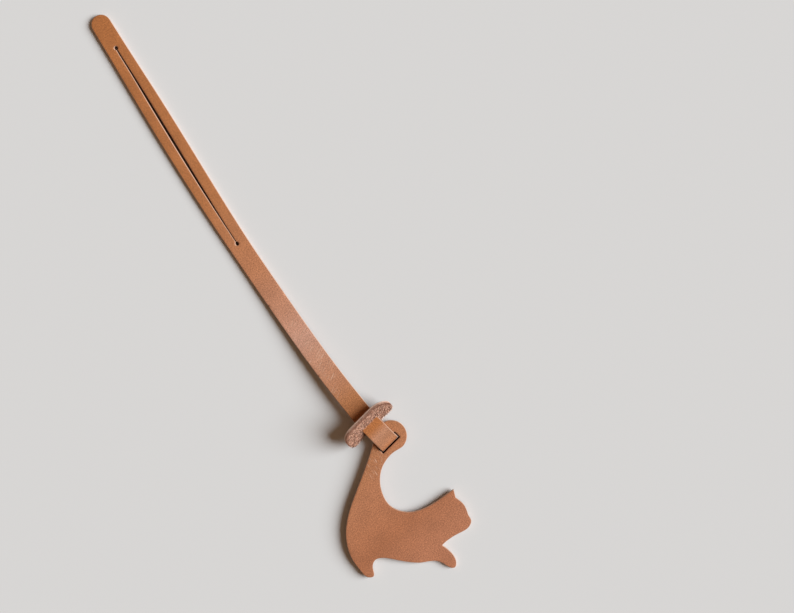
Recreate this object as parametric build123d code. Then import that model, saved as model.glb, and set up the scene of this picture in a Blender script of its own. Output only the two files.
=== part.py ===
from build123d import *
from math import asin, atan2, cos, degrees, hypot, radians, sin, tan
import os

# A leather bookmark: a slit strap whose end tab locks a loop round the tail of a flat cat charm.
# Millimetres. +Z is up from the table, +Y runs from the loop along the strap.
# The origin is on the table under the middle of the loop's flat underside.

# Leather
STRAP_THICKNESS = 1.6
CHARM_THICKNESS = 1.6

# Strap as seen from above, measured along its middle from the fold
LOOP_WIDTH = 8.6
END_WIDTH = 8.1
LOOP_RUN = 6.0
NECK_TURN = 6.5
NECK_RADIUS = 76.0
SHANK_TURN = 6.8
SHANK_RADIUS = 1000.0
PAGE_RUN = 76.5

# Slit between two punched holes
END_TO_HOLE = 15.5
HOLE_SPACING = 94.0
HOLE_DIAMETER = 1.7
UPPER_SLIT_SHIFT = 0.1
LOWER_SLIT_SHIFT = -0.35
SLIT_CUT = 0.2
SLIT_OPENING = 1.1
HOLE_TO_WIDEST = 27.0
FOOT_OPENING = 0.6
HOLE_TO_FOOT = 14.0

# Strap as seen from the side, with y measured from the fold's axis
LIFT_CORNER = 75.0
LIFT_RADIUS = 900.0
CREST_CORNER = 7.5
CREST_RADIUS = 60.0

# Loop round the tail
RIM_PLAY = 0.6
LOWER_RUN = 5.5
SLOT_FRONT_PLAY = 0.7
SLOT_BACK_PLAY = 0.9
SLOT_SIDE_PLAY = 0.6

# Tab that the strap is threaded through
TAB_WIDTH = 24.2
TAB_HEIGHT = 9.7
TAB_SHIFT = -0.2
TAB_LEAN = 55.0
TAB_BEND_RADIUS = 1.0
TAB_NECK = 0.9
TAB_CUT_PLAY = 0.35

# Places where the strap bends: below the slit, then measured along it from the fold
HOLE_TO_BEND = 8.6
LOWER_BEND = 51.0
LOOP_BEND = 21.0
BEND_LIMIT = 60.0
BEND_SPARE = 1.0
BEND_GAP = 0.1

# Cat charm, with x and y measured from the fold's axis
TAIL_TIP_CENTRE = (2.6, -0.8)
TAIL_TIP_RADIUS = 6.4
TAIL_TIP_OUTER_ANGLE = 123.0
TAIL_TIP_INNER_ANGLE = -86.0
TAIL_CROOK = [(1.6, -6.98), (-0.4, -6.45), (-2.7, -6.12), (-5.2, -6.27), (-8.5, -7.1)]
TAIL_INNER_EDGE = [(-13.5, -10.5), (-16.8, -15.5), (-17.9, -20.0)]
BACK = [(-16.8, -24.5), (-13.5, -28.7), (-8.0, -31.6), (-2.6, -33.0)]
EAR_TIP = (5.1, -34.3)
EAR_NOTCH = (3.3, -37.4)
FOREHEAD = [(3.7, -40.0), (3.6, -42.2), (2.6, -44.8)]
NOSE = (1.9, -46.4)
MUZZLE = [(1.4, -48.2), (-0.4, -49.5), (-2.4, -49.7)]
CHIN = [(-6.0, -48.7), (-10.2, -47.6)]
THROAT = (-14.4, -47.3)
FOREPAW = [(-13.9, -51.0), (-14.2, -54.2), (-15.5, -56.6), (-17.1, -57.4), (-18.5, -56.2), (-19.2, -53.4)]
BELLY = [(-20.6, -50.2), (-25.5, -46.2), (-29.0, -42.3), (-32.0, -38.0)]
HIND_FOOT = [(-34.8, -34.1), (-37.8, -32.2), (-41.0, -33.9), (-43.2, -36.4), (-44.7, -35.5)]
RUMP = [(-45.3, -31.0), (-44.6, -26.0), (-42.3, -20.5), (-38.0, -15.2)]
TAIL_OUTER_EDGE = [(-32.0, -10.9), (-24.8, -7.3), (-17.8, -4.2), (-9.8, -0.4)]

# Sizes that follow from those above
FOLD_INNER = CHARM_THICKNESS / 2 + RIM_PLAY
FOLD_OUTER = FOLD_INNER + STRAP_THICKNESS
FOLD_MIDDLE = FOLD_INNER + STRAP_THICKNESS / 2
FOLD_Y = -LOWER_RUN / 2
FOLD_Z = FOLD_OUTER
TABLE_MIDDLE = STRAP_THICKNESS / 2
CREST_MIDDLE = FOLD_Z + FOLD_MIDDLE
LIFT_SLOPE = atan2(CREST_MIDDLE - TABLE_MIDDLE, LIFT_CORNER - CREST_CORNER)
CREST_START = CREST_CORNER - CREST_RADIUS * tan(LIFT_SLOPE / 2)
CREST_END = CREST_START + CREST_RADIUS * sin(LIFT_SLOPE)
LIFT_END = LIFT_CORNER + LIFT_RADIUS * tan(LIFT_SLOPE / 2)
LIFT_START = LIFT_END - LIFT_RADIUS * sin(LIFT_SLOPE)
SLOPE_RUN = (LIFT_START - CREST_END) / cos(LIFT_SLOPE)
NECK_RUN = NECK_RADIUS * radians(NECK_TURN)
SHANK_RUN = SHANK_RADIUS * radians(SHANK_TURN)
STRAP_LENGTH = LOOP_RUN + NECK_RUN + SHANK_RUN + PAGE_RUN
UPPER_HOLE = STRAP_LENGTH - END_TO_HOLE
LOWER_HOLE = UPPER_HOLE - HOLE_SPACING
SLIT_WIDEST = UPPER_HOLE - HOLE_TO_WIDEST
SLIT_FOOT = LOWER_HOLE + HOLE_TO_FOOT
SLIT_GAPS = {LOWER_HOLE: SLIT_CUT, SLIT_FOOT: FOOT_OPENING, SLIT_WIDEST: SLIT_OPENING, UPPER_HOLE: SLIT_CUT}
UPPER_BEND = LOWER_HOLE - HOLE_TO_BEND
TAB_BEND_MIDDLE = TAB_BEND_RADIUS + STRAP_THICKNESS / 2
REACH = 2 * STRAP_LENGTH


def straight(length):
    return (length, 0.0, 0.0)


def bend(radius, turn):
    return (radius * radians(abs(turn)), radius, turn)


def travel(start, heading, runs, distance):
    """Point and heading in degrees at a distance along runs of straights and bends."""
    x, y = start
    for length, radius, turn in runs:
        step = min(distance, length)
        angle = radians(heading)
        if turn == 0:
            x += step * cos(angle)
            y += step * sin(angle)
        else:
            side = 1 if turn > 0 else -1
            swept = side * step / radius
            x += side * radius * (sin(angle + swept) - sin(angle))
            y -= side * radius * (cos(angle + swept) - cos(angle))
            heading += degrees(swept)
        distance -= step
    return (x, y), heading


def beside(point, heading, offset):
    """Point at an offset to the left of a heading."""
    angle = radians(heading)
    return (point[0] - offset * sin(angle), point[1] + offset * cos(angle))


def side_edges(start, heading, runs, offset):
    """Lines and arcs that keep one offset to the left of the runs."""
    edges = []
    done = 0.0
    for length, radius, turn in runs:
        first, middle, last = [
            beside(*travel(start, heading, runs, done + share * length), offset) for share in (0, 0.5, 1)
        ]
        edges.append(ThreePointArc(first, middle, last) if turn else Line(first, last))
        done += length
    return edges


def band(start, heading, runs, thickness):
    """Face of a strip of leather seen edge on, in the plane of its bends."""
    left = side_edges(start, heading, runs, thickness / 2)
    right = side_edges(start, heading, runs, -thickness / 2)
    caps = [Line(left[0] @ 0, right[0] @ 0), Line(left[-1] @ 1, right[-1] @ 1)]
    return make_face(left + right + caps)


def across(face, half_width):
    """Solid of a side view, as wide as asked each way from x = 0."""
    return extrude(Plane.YZ * face, amount=half_width, both=True)


PLAN_RUNS = [
    straight(LOOP_RUN),
    bend(NECK_RADIUS, -NECK_TURN),
    bend(SHANK_RADIUS, -SHANK_TURN),
    straight(PAGE_RUN),
]
CREST_RUNS = [
    straight(CREST_START),
    bend(CREST_RADIUS, -degrees(LIFT_SLOPE)),
    straight(SLOPE_RUN),
    bend(LIFT_RADIUS, degrees(LIFT_SLOPE)),
    straight(REACH),
]
LOWER_RUNS = [bend(FOLD_MIDDLE, 180), straight(LOWER_RUN)]
TAB_RUNS = [bend(TAB_BEND_MIDDLE, TAB_LEAN), straight(TAB_NECK + TAB_HEIGHT)]
CREST_POINT = (FOLD_Y, CREST_MIDDLE)
LOWER_END = (FOLD_Y + LOWER_RUN, TABLE_MIDDLE)


def station(distance):
    """Plan point and heading of the strap's middle, at a distance from the fold."""
    return travel((0, FOLD_Y), 90, PLAN_RUNS, distance)


def half_width(distance):
    """Half the strap's width, with the strips pushed apart along the slit."""
    share = distance / STRAP_LENGTH
    tapered = (LOOP_WIDTH + (END_WIDTH - LOOP_WIDTH) * share) / 2
    return tapered + SLIT_GAPS.get(distance, 0) / 2


def strap_plan():
    """Outline of the strap from above, from beyond the fold to the rounded end."""
    round_start = STRAP_LENGTH - END_WIDTH / 2
    neck_end = LOOP_RUN + NECK_RUN
    shank_middle = neck_end + SHANK_RUN / 2
    stops = [0, LOOP_RUN, neck_end, shank_middle, *SLIT_GAPS, round_start]
    left, right = [[beside(*station(stop), side * half_width(stop)) for stop in stops] for side in (1, -1)]
    past_fold = FOLD_Y - 2 * FOLD_OUTER
    return make_face([
        Polyline(left[0], (-LOOP_WIDTH / 2, past_fold), (LOOP_WIDTH / 2, past_fold), right[0]),
        Spline(left),
        Spline(right),
        ThreePointArc(left[-1], station(STRAP_LENGTH)[0], right[-1]),
    ])


def slit_shift(distance):
    """How far the slit lies to the right of the strap's middle."""
    share = (distance - LOWER_HOLE) / HOLE_SPACING
    return LOWER_SLIT_SHIFT + (UPPER_SLIT_SHIFT - LOWER_SLIT_SHIFT) * share


def slit_plan():
    """The two punched holes and the slit between them."""
    left, right = [
        [beside(*station(stop), side * gap / 2 - slit_shift(stop)) for stop, gap in SLIT_GAPS.items()]
        for side in (1, -1)
    ]
    lens = make_face([
        Spline(left),
        Spline(right),
        Line(left[0], right[0]),
        Line(left[-1], right[-1]),
    ])
    centres = [beside(*station(stop), -slit_shift(stop)) for stop in (LOWER_HOLE, UPPER_HOLE)]
    return lens + [Pos(*centre) * Circle(HOLE_DIAMETER / 2) for centre in centres]


def tab():
    """Oval tab on a neck of the strap's width, bent up from the lower layer, with its cut spread open."""
    (bend_y, bend_z), lean = travel(LOWER_END, 0, TAB_RUNS[:1], TAB_RUNS[0][0])
    rise = radians(lean)
    plate = Plane(origin=(0, bend_y, bend_z), x_dir=(1, 0, 0), z_dir=(0, -sin(rise), cos(rise)))
    oval = Pos(TAB_SHIFT, TAB_NECK + TAB_HEIGHT / 2) * SlotOverall(TAB_WIDTH, TAB_HEIGHT)
    neck = Pos(0, TAB_NECK + TAB_HEIGHT / 2) * Rectangle(LOOP_WIDTH, 4 * TAB_HEIGHT, align=(Align.CENTER, Align.MAX))
    shape = extrude(plate * (oval + neck), amount=REACH, both=True)
    leather = across(band(LOWER_END, 0, TAB_RUNS, STRAP_THICKNESS), TAB_WIDTH)
    cut = band(CREST_POINT, 0, CREST_RUNS, STRAP_THICKNESS + 2 * TAB_CUT_PLAY)
    return (leather & shape) - across(cut, LOOP_WIDTH / 2 + TAB_CUT_PLAY)


def strap_height(y):
    """Height and slope in degrees of the strap's middle layer at y from the fold's axis."""
    if y < CREST_START:
        return CREST_MIDDLE, 0.0
    if y < CREST_END:
        slope = asin((y - CREST_START) / CREST_RADIUS)
        return CREST_MIDDLE - CREST_RADIUS * (1 - cos(slope)), -degrees(slope)
    if y < LIFT_START:
        return TABLE_MIDDLE + (LIFT_CORNER - y) * tan(LIFT_SLOPE), -degrees(LIFT_SLOPE)
    slope = asin(max(LIFT_END - y, 0) / LIFT_RADIUS)
    return TABLE_MIDDLE + LIFT_RADIUS * (1 - cos(slope)), -degrees(slope)


def bend_place(distance):
    """Point on the strap's middle layer, its direction along the strap and the bend's axis."""
    (x, y), heading = station(distance)
    z, slope = strap_height(y - FOLD_Y)
    turn, tilt = radians(heading), radians(slope)
    along = (cos(turn) * cos(tilt), sin(turn) * cos(tilt), sin(tilt))
    axis = (sin(turn), -cos(turn), 0)
    return (x, y, z), along, axis


def bend_cut(distance):
    """Grooves from both faces that meet at mid thickness, so that the leather can fold either way."""
    place, along, axis = bend_place(distance)
    depth = STRAP_THICKNESS
    spread = BEND_GAP / 2 + depth * tan(radians((BEND_LIMIT + BEND_SPARE) / 2))
    waist = BEND_GAP / 2
    groove = make_face(Polyline(
        (-spread, depth), (-waist, 0), (-spread, -depth), (spread, -depth), (waist, 0), (spread, depth),
        close=True,
    ))
    return extrude(Plane(origin=place, x_dir=along, z_dir=axis) * groove, amount=LOOP_WIDTH, both=True)


def strap_pieces():
    """The whole strap, threaded through its own tab, then parted at its bends."""
    upper = across(band(CREST_POINT, 0, CREST_RUNS, STRAP_THICKNESS), REACH)
    lower = across(band(CREST_POINT, 180, LOWER_RUNS, STRAP_THICKNESS), REACH)
    outline = extrude(strap_plan(), amount=REACH)
    slit = extrude(slit_plan(), amount=REACH)
    whole = ((upper + lower) & outline) - slit + tab()
    for distance in (UPPER_BEND, LOWER_BEND, LOOP_BEND):
        whole -= bend_cut(distance)
    loop, lower, middle, slit_end = whole.solids().sort_by(Axis.Y)
    return {"strap_loop": loop, "strap_lower": lower, "strap_middle": middle, **slit_end_pieces(slit_end)}


def slit_end_pieces(slit_end):
    """The slit end parted across its two holes, which leaves the strips beside the slit apart."""
    below, above = [
        Plane(origin=(*station(stop)[0], 0), z_dir=bend_place(stop)[1]) for stop in (LOWER_HOLE, UPPER_HOLE)
    ]
    between = split(split(slit_end, bisect_by=below, keep=Keep.TOP), bisect_by=above, keep=Keep.BOTTOM)
    left, right = between.solids().sort_by(Axis.X)
    return {
        "strap_slit_foot": split(slit_end, bisect_by=below, keep=Keep.BOTTOM),
        "slit_left_strip": left,
        "slit_right_strip": right,
        "strap_rounded_end": split(slit_end, bisect_by=above, keep=Keep.TOP),
    }


def cat_outline():
    """Cat silhouette with a hooked tail, one smooth stretch from corner to corner."""
    turn = TAIL_TIP_INNER_ANGLE - TAIL_TIP_OUTER_ANGLE
    tip = CenterArc(TAIL_TIP_CENTRE, TAIL_TIP_RADIUS, TAIL_TIP_OUTER_ANGLE, turn)
    inner_start, outer_end = tip @ 1, tip @ 0
    inner = [inner_start] + TAIL_CROOK + TAIL_INNER_EDGE + BACK + [EAR_TIP]
    outer = [THROAT] + FOREPAW + BELLY + HIND_FOOT + RUMP + TAIL_OUTER_EDGE + [outer_end]
    return make_face([
        tip,
        Spline(inner),
        Line(EAR_TIP, EAR_NOTCH),
        Spline([EAR_NOTCH] + FOREHEAD + [NOSE] + MUZZLE + CHIN + [THROAT]),
        Spline(outer),
    ])


def charm_droop():
    """Angle in degrees that lets the charm's lowest paw touch the table."""
    reach = -min(y for _, y in FOREPAW)
    half = CHARM_THICKNESS / 2
    return degrees(asin(FOLD_Z / hypot(reach, half)) - atan2(half, reach))


def cat_charm():
    """Flat charm with the strap's slot in its tail, drooping from the fold to the table."""
    slot_front = -(FOLD_OUTER + SLOT_FRONT_PLAY)
    slot_back = -(FOLD_INNER - SLOT_BACK_PLAY)
    slot = Pos(0, (slot_front + slot_back) / 2) * Rectangle(LOOP_WIDTH + 2 * SLOT_SIDE_PLAY, slot_back - slot_front)
    flat = extrude(cat_outline() - slot, amount=CHARM_THICKNESS / 2, both=True)
    return Pos(0, FOLD_Y, FOLD_Z) * Rot(charm_droop(), 0, 0) * flat


def main():
    os.makedirs("parts", exist_ok=True)
    pieces = strap_pieces()
    pieces["cat_charm"] = cat_charm()
    for name, piece in pieces.items():
        export_step(piece, f"parts/{name}.step")


main()
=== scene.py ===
import math

import bpy
import numpy as np
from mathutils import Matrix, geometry, kdtree


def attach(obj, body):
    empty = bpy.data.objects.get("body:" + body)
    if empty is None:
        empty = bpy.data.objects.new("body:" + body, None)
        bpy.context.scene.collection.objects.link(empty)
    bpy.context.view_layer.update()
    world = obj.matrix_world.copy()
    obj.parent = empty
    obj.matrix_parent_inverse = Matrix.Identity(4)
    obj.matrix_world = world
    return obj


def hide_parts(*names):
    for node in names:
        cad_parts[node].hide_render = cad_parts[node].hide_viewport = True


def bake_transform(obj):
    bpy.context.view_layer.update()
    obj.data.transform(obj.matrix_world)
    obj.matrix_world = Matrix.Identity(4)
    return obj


# Leather for the bookmark: the strap and the cat are cut flat, given thickness, then folded into place.
# Flat sizes are in millimetres: across the strap first, then along it from the fold at the cat's tail.

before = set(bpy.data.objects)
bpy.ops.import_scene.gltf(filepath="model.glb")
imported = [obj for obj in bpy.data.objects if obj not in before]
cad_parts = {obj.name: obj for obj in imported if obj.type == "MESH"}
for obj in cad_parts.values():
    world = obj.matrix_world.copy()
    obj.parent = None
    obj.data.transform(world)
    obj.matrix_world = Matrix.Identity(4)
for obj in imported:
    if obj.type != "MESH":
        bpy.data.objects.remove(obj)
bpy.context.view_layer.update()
MM = 0.001

# Strap
THICKNESS = 1.6
EDGE_ROUND = 0.24
CUT_ROUND = 0.22
FLESH_SHARE = 0.5
LOOP_WIDTH = 8.6
END_WIDTH = 8.1
END_FLARE = 0.015
LEAST_HALF_WIDTH = 3.4
LOOP_RUN = 6.0
NECK_TURN, NECK_RADIUS = 6.5, 76.0
SHANK_TURN, SHANK_RADIUS = 6.8, 1000.0
PAGE_RUN = 76.5
END_TO_HOLE = 15.5
HOLE_SPACING = 94.0
HOLE_RADIUS = 0.85
HOLE_CLEARANCE = 1.0
UPPER_SLIT_SHIFT, LOWER_SLIT_SHIFT = 0.1, -0.35
SLIT_CUT = 0.2
SLIT_LEAD = 0.3
WIDEST_SLIT = 1.6

# Strap seen from the side
FOLD_RADIUS = 2.2
FOLD_Y = -2.75
FOLD_Z = 3.0
LIFT_CORNER, LIFT_RADIUS = 75.0, 900.0
CREST_CORNER, CREST_RADIUS = 7.5, 60.0

# Tab
LOWER_RUN = 5.5
TAB_BEND = 1.8
TAB_LEAN = 55.0
TAB_NECK = 0.9
TAB_WIDTH, TAB_HEIGHT = 24.2, 9.7
TAB_SHIFT = -0.2
TAB_CORNER = 1.0
TAB_RUN = 40.0
LEFT_SWAY, RIGHT_SWAY = 0.35, 1.25
LEFT_TWIST = 1.7
SWAY_START, SWAY_END = -1.0, 3.0
CUT_PLAY = 0.12
CUT_CORNER = 0.5
CUT_REACH = 2.5
CROSSING_STEPS = 2000

# Places for bends that a hand can make, listed but not used by this script, and the joins between the
# strap's pieces
HOLE_TO_BEND = 8.6
LOWER_BEND, LOOP_BEND = 51.0, 21.0
UPPER_SEAM, LOWER_SEAM = 72.0, 37.0
BEND_REACH = 9.0
LOOP_BEND_REACH = 7.0

# Points on the outlines
SAMPLE_STEP, SAMPLE_MARGIN = 0.02, 1.0
SAME_PLACE = 0.02
EDGE_STEP, FOLD_STEP = 0.6, 0.35
SEAM_POINTS = 11
TIP_POINTS, HOLE_POINTS = 25, 21
TAB_END_POINTS, TAB_SIDE_POINTS, TAB_CORNER_POINTS = 28, 24, 6
CUT_SIDE_POINTS, CUT_CORNER_POINTS = 16, 5

# Where the flat sheet is measured
TABLE_MIDDLE = THICKNESS / 2
CREST_MIDDLE = FOLD_Z + FOLD_RADIUS
LIFT_SLOPE = math.atan2(CREST_MIDDLE - TABLE_MIDDLE, LIFT_CORNER - CREST_CORNER)
CREST_START = CREST_CORNER - CREST_RADIUS * math.tan(LIFT_SLOPE / 2)
CREST_END = CREST_START + CREST_RADIUS * math.sin(LIFT_SLOPE)
LIFT_END = LIFT_CORNER + LIFT_RADIUS * math.tan(LIFT_SLOPE / 2)
LIFT_START = LIFT_END - LIFT_RADIUS * math.sin(LIFT_SLOPE)
PLAN_RUNS = [
    (LOOP_RUN, 0.0, 0.0),
    (NECK_RADIUS * math.radians(NECK_TURN), NECK_RADIUS, -NECK_TURN),
    (SHANK_RADIUS * math.radians(SHANK_TURN), SHANK_RADIUS, -SHANK_TURN),
    (PAGE_RUN, 0.0, 0.0),
]
STRAP_LENGTH = sum(run[0] for run in PLAN_RUNS)
UPPER_HOLE = STRAP_LENGTH - END_TO_HOLE
LOWER_HOLE = UPPER_HOLE - HOLE_SPACING
UPPER_BEND = LOWER_HOLE - HOLE_TO_BEND
FOLD_RUN = FOLD_RADIUS * math.pi
TAB_BEND_RUN = TAB_BEND * math.radians(TAB_LEAN)
TAB_START = -(FOLD_RUN + LOWER_RUN + TAB_BEND_RUN)
BELOW_RUNS = [
    (FOLD_RUN, FOLD_RADIUS, 180.0),
    (LOWER_RUN, 0.0, 0.0),
    (TAB_BEND_RUN, TAB_BEND, TAB_LEAN),
    (TAB_RUN, 0.0, 0.0),
]


def travel(x, y, heading, runs, distance):
    """Points and headings in radians at distances along runs of straights and bends."""
    left = np.array(distance, float)
    x, y = np.full_like(left, x), np.full_like(left, y)
    angle = np.full_like(left, math.radians(heading))
    for length, radius, turn in runs:
        step = np.clip(left, 0, length)
        if turn == 0:
            x, y = x + step * np.cos(angle), y + step * np.sin(angle)
        else:
            side = math.copysign(1, turn)
            after = angle + side * step / radius
            x = x + side * radius * (np.sin(after) - np.sin(angle))
            y = y - side * radius * (np.cos(after) - np.cos(angle))
            angle = after
        left = left - step
    return x, y, angle


def strap_height(y):
    """Height and slope of the strap's middle layer at y from the fold's axis."""
    crest = np.arcsin(np.clip((y - CREST_START) / CREST_RADIUS, 0, math.sin(LIFT_SLOPE)))
    foot = np.arcsin(np.clip((LIFT_END - y) / LIFT_RADIUS, 0, math.sin(LIFT_SLOPE)))
    slope = np.minimum(crest, foot)
    over = CREST_MIDDLE - CREST_RADIUS * (1 - np.cos(crest))
    ramp = TABLE_MIDDLE + (LIFT_CORNER - y) * math.tan(LIFT_SLOPE)
    under = TABLE_MIDDLE + LIFT_RADIUS * (1 - np.cos(foot))
    height = np.where(y < CREST_END, over, np.where(y < LIFT_START, ramp, under))
    return height, slope


def smooth(value, low, high):
    """Share from 0 at low to 1 at high, level at both ends."""
    share = np.clip((value - low) / (high - low), 0, 1)
    return share * share * (3 - 2 * share)


def tab_crossing():
    """How far up the tab the strap's middle passes through it, and the strap's slope there."""
    lean = math.radians(TAB_LEAN)
    foot_y = FOLD_Y + LOWER_RUN + TAB_BEND * math.sin(lean)
    foot_z = TABLE_MIDDLE + TAB_BEND * (1 - math.cos(lean))
    up = np.linspace(0, TAB_HEIGHT, CROSSING_STEPS)
    height, slope = strap_height(foot_y + up * math.cos(lean) - FOLD_Y)
    nearest = int(np.argmin(np.abs(foot_z + up * math.sin(lean) - height)))
    return up[nearest], slope[nearest]


CUT_MIDDLE, CUT_SLOPE = tab_crossing()
CUT_HALF = (THICKNESS / 2 + CUT_PLAY) / math.sin(math.radians(TAB_LEAN) + CUT_SLOPE)


def strap_shape(flat, offset):
    """Places flat strap points round the loop and along the table, offset towards the grain side."""
    across, along = flat[:, 0], flat[:, 1]
    plan_x, plan_y, heading = travel(0, FOLD_Y, 90, PLAN_RUNS, np.maximum(along, 0))
    x = plan_x + across * np.sin(heading)
    y = plan_y - across * np.cos(heading)
    z, slope = strap_height(y - FOLD_Y)
    upper = np.stack([x, y + offset * np.sin(slope), z + offset * np.cos(slope)], 1)

    up = TAB_START - along
    gap_side = np.maximum(np.abs(across) - LOOP_WIDTH / 2 - CUT_PLAY, 0)
    gap_up = np.maximum(np.abs(up - CUT_MIDDLE) - CUT_HALF, 0)
    near_cut = 1 - smooth(np.hypot(gap_side, gap_up), 0, CUT_REACH)
    shear = near_cut * offset / math.tan(math.radians(TAB_LEAN) + CUT_SLOPE)
    below, height, turn = travel(FOLD_Y, CREST_MIDDLE, 180, BELOW_RUNS, np.maximum(-along + shear, 0))
    lobe = smooth(np.abs(across), LOOP_WIDTH / 2, TAB_WIDTH / 2) * smooth(up, SWAY_START, SWAY_END)
    twist = LEFT_TWIST * (1 - np.clip(up / TAB_HEIGHT, 0, 1))
    sway = lobe * np.where(across < 0, LEFT_SWAY + twist, RIGHT_SWAY)
    out = offset - sway
    lower = np.stack([across, below + out * np.sin(turn), height - out * np.cos(turn)], 1)
    return np.where((along >= 0)[:, None], upper, lower)


# Reading the cut edges of the CAD strap
samples = np.arange(-SAMPLE_MARGIN, STRAP_LENGTH + SAMPLE_MARGIN, SAMPLE_STEP)
sample_x, sample_y, sample_heading = travel(0, FOLD_Y, 90, PLAN_RUNS, np.maximum(samples, 0))


def node_points(*names):
    """Corners of the named CAD pieces, in millimetres."""
    return np.array([tuple(v.co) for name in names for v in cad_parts[name].data.vertices]) / MM


def flattened(points):
    """Flat strap points for points of the upper layer."""
    found = []
    for x, y, z in points:
        nearest = int(np.argmin((sample_x - x) ** 2 + (sample_y - y) ** 2))
        angle = sample_heading[nearest]
        across = (x - sample_x[nearest]) * math.sin(angle) - (y - sample_y[nearest]) * math.cos(angle)
        found.append((across, samples[nearest]))
    return np.array(found)


def edge_line(points):
    """Edge of the strap as one width for each length, in order along the strap."""
    order = np.argsort(points[:, 1])
    lengths, first = np.unique(np.round(points[order, 1], 2), return_index=True)
    return lengths, points[order][first, 0]


def slit_shift(along):
    """How far the slit lies to the right of the strap's middle."""
    return np.interp(along, [LOWER_HOLE, UPPER_HOLE], [LOWER_SLIT_SHIFT, UPPER_SLIT_SHIFT])


def strap_sides(strips):
    """Right and left outer edges of the strap."""
    stretches = flattened(node_points("strap_slit_foot", "strap_middle", "strap_lower"))
    outside = np.concatenate([strips, stretches])
    outside = outside[np.abs(outside[:, 0]) > LEAST_HALF_WIDTH]
    loop = [(LOOP_WIDTH / 2, 0.0), (LOOP_WIDTH / 2, LOOP_RUN)]
    end = [(END_WIDTH / 2 + END_FLARE, STRAP_LENGTH - END_WIDTH / 2)]
    right = np.concatenate([loop, outside[outside[:, 0] > 0], end])
    left = np.concatenate([loop, outside[outside[:, 0] < 0] * (-1, 1), end]) * (-1, 1)
    return edge_line(right), edge_line(left)


def slit_sides(strips):
    """Right and left edges of the slit."""
    from_slit = strips[:, 0] - slit_shift(strips[:, 1])
    inside = strips[np.abs(from_slit) < WIDEST_SLIT / 2]
    above_lower = inside[:, 1] > LOWER_HOLE + HOLE_CLEARANCE
    below_upper = inside[:, 1] < UPPER_HOLE - HOLE_CLEARANCE
    inside = inside[above_lower & below_upper]
    middle = slit_shift(inside[:, 1])
    return edge_line(inside[inside[:, 0] > middle]), edge_line(inside[inside[:, 0] < middle])


slit_strips = flattened(node_points("slit_left_strip", "slit_right_strip"))
right_line, left_line = strap_sides(slit_strips)
slit_right, slit_left = slit_sides(slit_strips)


# Outlines of the strap's pieces
def loop_of(*stretches):
    """One closed outline from stretches that follow each other."""
    joined = np.concatenate(stretches)
    keep = np.hypot(*(joined - np.roll(joined, 1, 0)).T) > SAME_PLACE
    return joined[keep]


def arc(centre, radius, start, end, count):
    """Points on an arc between two angles in degrees."""
    angles = np.radians(np.linspace(start, end, count))
    return np.stack([centre[0] + radius * np.cos(angles), centre[1] + radius * np.sin(angles)], 1)


def along_edge(line, start, end):
    """Points on an edge of the strap between two lengths."""
    count = max(2, int(abs(end - start) / EDGE_STEP) + 1)
    lengths = np.linspace(start, end, count)
    return np.stack([np.interp(lengths, *line), lengths], 1)


def seam_line(length, direction):
    """Points across the strap, the same for the pieces on both sides of a seam."""
    share = np.linspace(0, 1, SEAM_POINTS) if direction < 0 else np.linspace(1, 0, SEAM_POINTS)
    start, end = np.interp(length, *left_line), np.interp(length, *right_line)
    return np.stack([start + (end - start) * share, np.full(SEAM_POINTS, length)], 1)


def upper_outline():
    """Slit end of the strap, from the upper seam round the tip."""
    round_start = STRAP_LENGTH - END_WIDTH / 2
    tip = arc((0, round_start), END_WIDTH / 2, 0, 180, TIP_POINTS)
    return loop_of(
        along_edge(right_line, UPPER_SEAM, round_start),
        tip,
        along_edge(left_line, round_start, UPPER_SEAM),
        seam_line(UPPER_SEAM, -1),
    )


def slit_outline():
    """Two punched holes and the slit that joins them, as one opening."""
    opening = math.degrees(math.asin(SLIT_CUT / 2 / HOLE_RADIUS))
    low = LOWER_HOLE + HOLE_RADIUS + SLIT_LEAD
    high = UPPER_HOLE - HOLE_RADIUS - SLIT_LEAD
    return loop_of(
        arc((UPPER_SLIT_SHIFT, UPPER_HOLE), HOLE_RADIUS, 270 - opening, -90 + opening, HOLE_POINTS),
        along_edge(slit_right, high, low),
        arc((LOWER_SLIT_SHIFT, LOWER_HOLE), HOLE_RADIUS, 90 - opening, -270 + opening, HOLE_POINTS),
        along_edge(slit_left, low, high),
    )


def middle_outline():
    """Stretch of the strap between the two seams."""
    return loop_of(
        along_edge(right_line, LOWER_SEAM, UPPER_SEAM),
        seam_line(UPPER_SEAM, 1),
        along_edge(left_line, UPPER_SEAM, LOWER_SEAM),
        seam_line(LOWER_SEAM, -1),
    )


def loop_outline():
    """Loop end of the strap: the stretch to the fold, the layer under the tail and the oval tab."""
    half, ends = LOOP_WIDTH / 2, TAB_HEIGHT / 2
    shoulder = TAB_START - TAB_NECK
    middle = shoulder - ends
    left_end, right_end = TAB_SHIFT - TAB_WIDTH / 2 + ends, TAB_SHIFT + TAB_WIDTH / 2 - ends
    far_side = np.linspace(left_end, right_end, TAB_SIDE_POINTS)
    straight = np.arange(0, -(shoulder + TAB_CORNER), FOLD_STEP)
    return loop_of(
        along_edge(right_line, 0, LOWER_SEAM),
        seam_line(LOWER_SEAM, 1),
        along_edge(left_line, LOWER_SEAM, 0),
        np.stack([np.full(straight.size, -half), -straight], 1),
        arc((-half - TAB_CORNER, shoulder + TAB_CORNER), TAB_CORNER, 0, -90, TAB_CORNER_POINTS),
        arc((left_end, middle), ends, 90, 270, TAB_END_POINTS),
        np.stack([far_side, np.full(TAB_SIDE_POINTS, middle - ends)], 1),
        arc((right_end, middle), ends, -90, 90, TAB_END_POINTS),
        arc((half + TAB_CORNER, shoulder + TAB_CORNER), TAB_CORNER, 270, 180, TAB_CORNER_POINTS),
        np.stack([np.full(straight.size, half), -straight[::-1]], 1),
    )


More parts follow.
